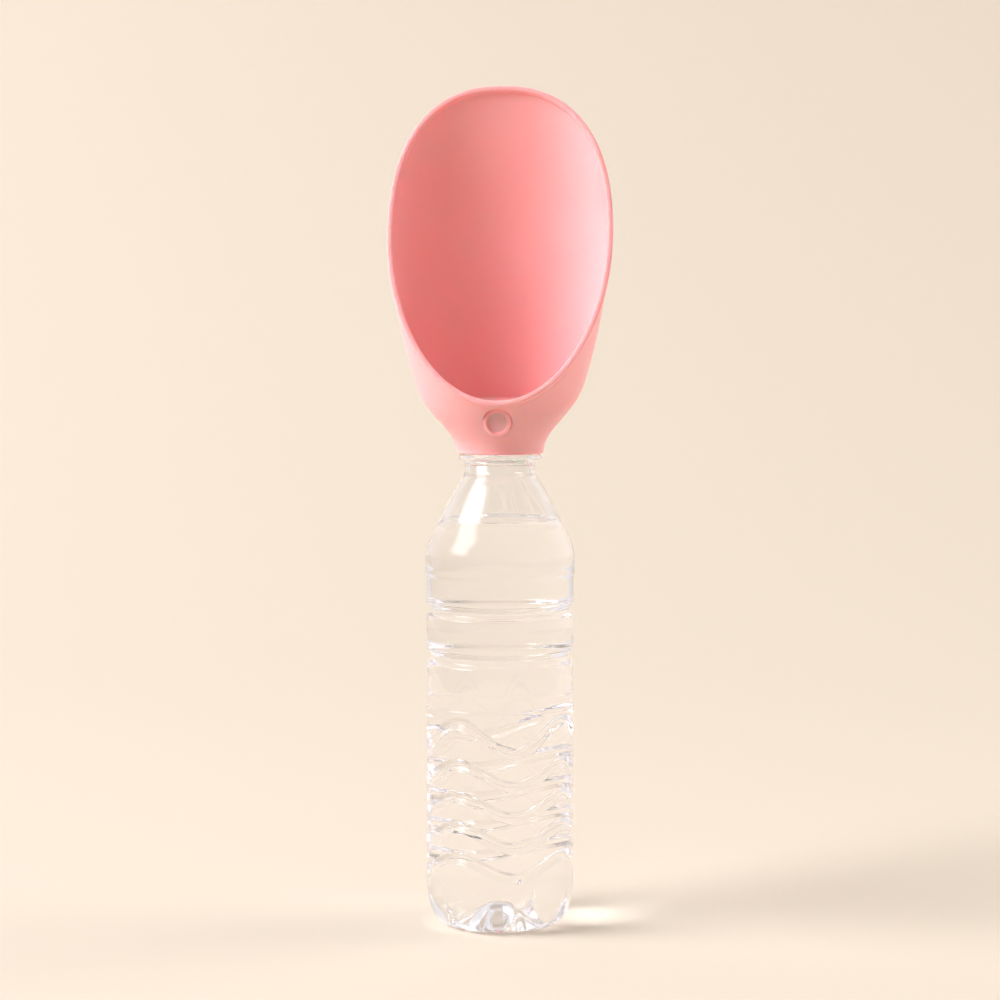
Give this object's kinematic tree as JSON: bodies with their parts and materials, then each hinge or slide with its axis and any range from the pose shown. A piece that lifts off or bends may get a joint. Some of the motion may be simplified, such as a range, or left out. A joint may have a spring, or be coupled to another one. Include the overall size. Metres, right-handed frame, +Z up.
{
  "type": "dog travel water bottle",
  "caption": "Travel water bottle for dogs: a clear ribbed bottle with a scoop-shaped drinking bowl screwed on its neck and a push button that lets water into the bowl.",
  "frame": {"origin": "on the axis of the bottle, level with the ground under its feet", "axes": "+Z up along the bottle, -Y towards the open side of the bowl and the push button, +X to the right seen from the front"},
  "size_m": [0.0962, 0.0706, 0.3599],
  "materials": {
    "clear_pet": "clear blown PET",
    "pink_plastic": "satin moulded polypropylene",
    "white_plastic": "moulded polypropylene",
    "silicone": "translucent food-grade silicone",
    "spring_steel": "drawn stainless wire"
  },
  "bodies": {
    "bottle_body": {"bottle": "clear_pet"},
    "gasket_body": {"mouth_gasket": "silicone"},
    "bowl_body": {"bowl": "pink_plastic", "core": "white_plastic", "outlet_seal": "silicone", "outlet_strainer": "pink_plastic", "chamber_plug": "white_plastic", "plug_seal": "silicone", "rod_seal": "silicone", "gland_bush": "white_plastic", "return_spring": "spring_steel"},
    "plunger": {"button": "pink_plastic", "valve_rod": "white_plastic", "head_seal": "silicone"}
  },
  "joints": [
    {"name": "bowl_rise", "type": "slide", "parent": "bottle_body", "child": "gasket_body", "axis": [0, 0, 1], "range_m": [0, 0.0105]},
    {"name": "bowl_turn", "type": "hinge", "parent": "gasket_body", "child": "bowl_body", "pos_m": [0, 0, 0.21], "axis": [0, 0, 1], "range_deg": [0, 1260.5]},
    {"name": "button_press", "type": "slide", "parent": "bowl_body", "child": "plunger", "axis": [0, 0.9962, 0.0872], "range_m": [0, 0.004], "stiffness_N_per_m": 400, "springref_m": -0.003, "deforming": ["return_spring"]}
  ],
  "couplings": [
    {"joint": "bowl_turn", "follows": "bowl_rise", "rad_per_m": 2094.4}
  ]
}
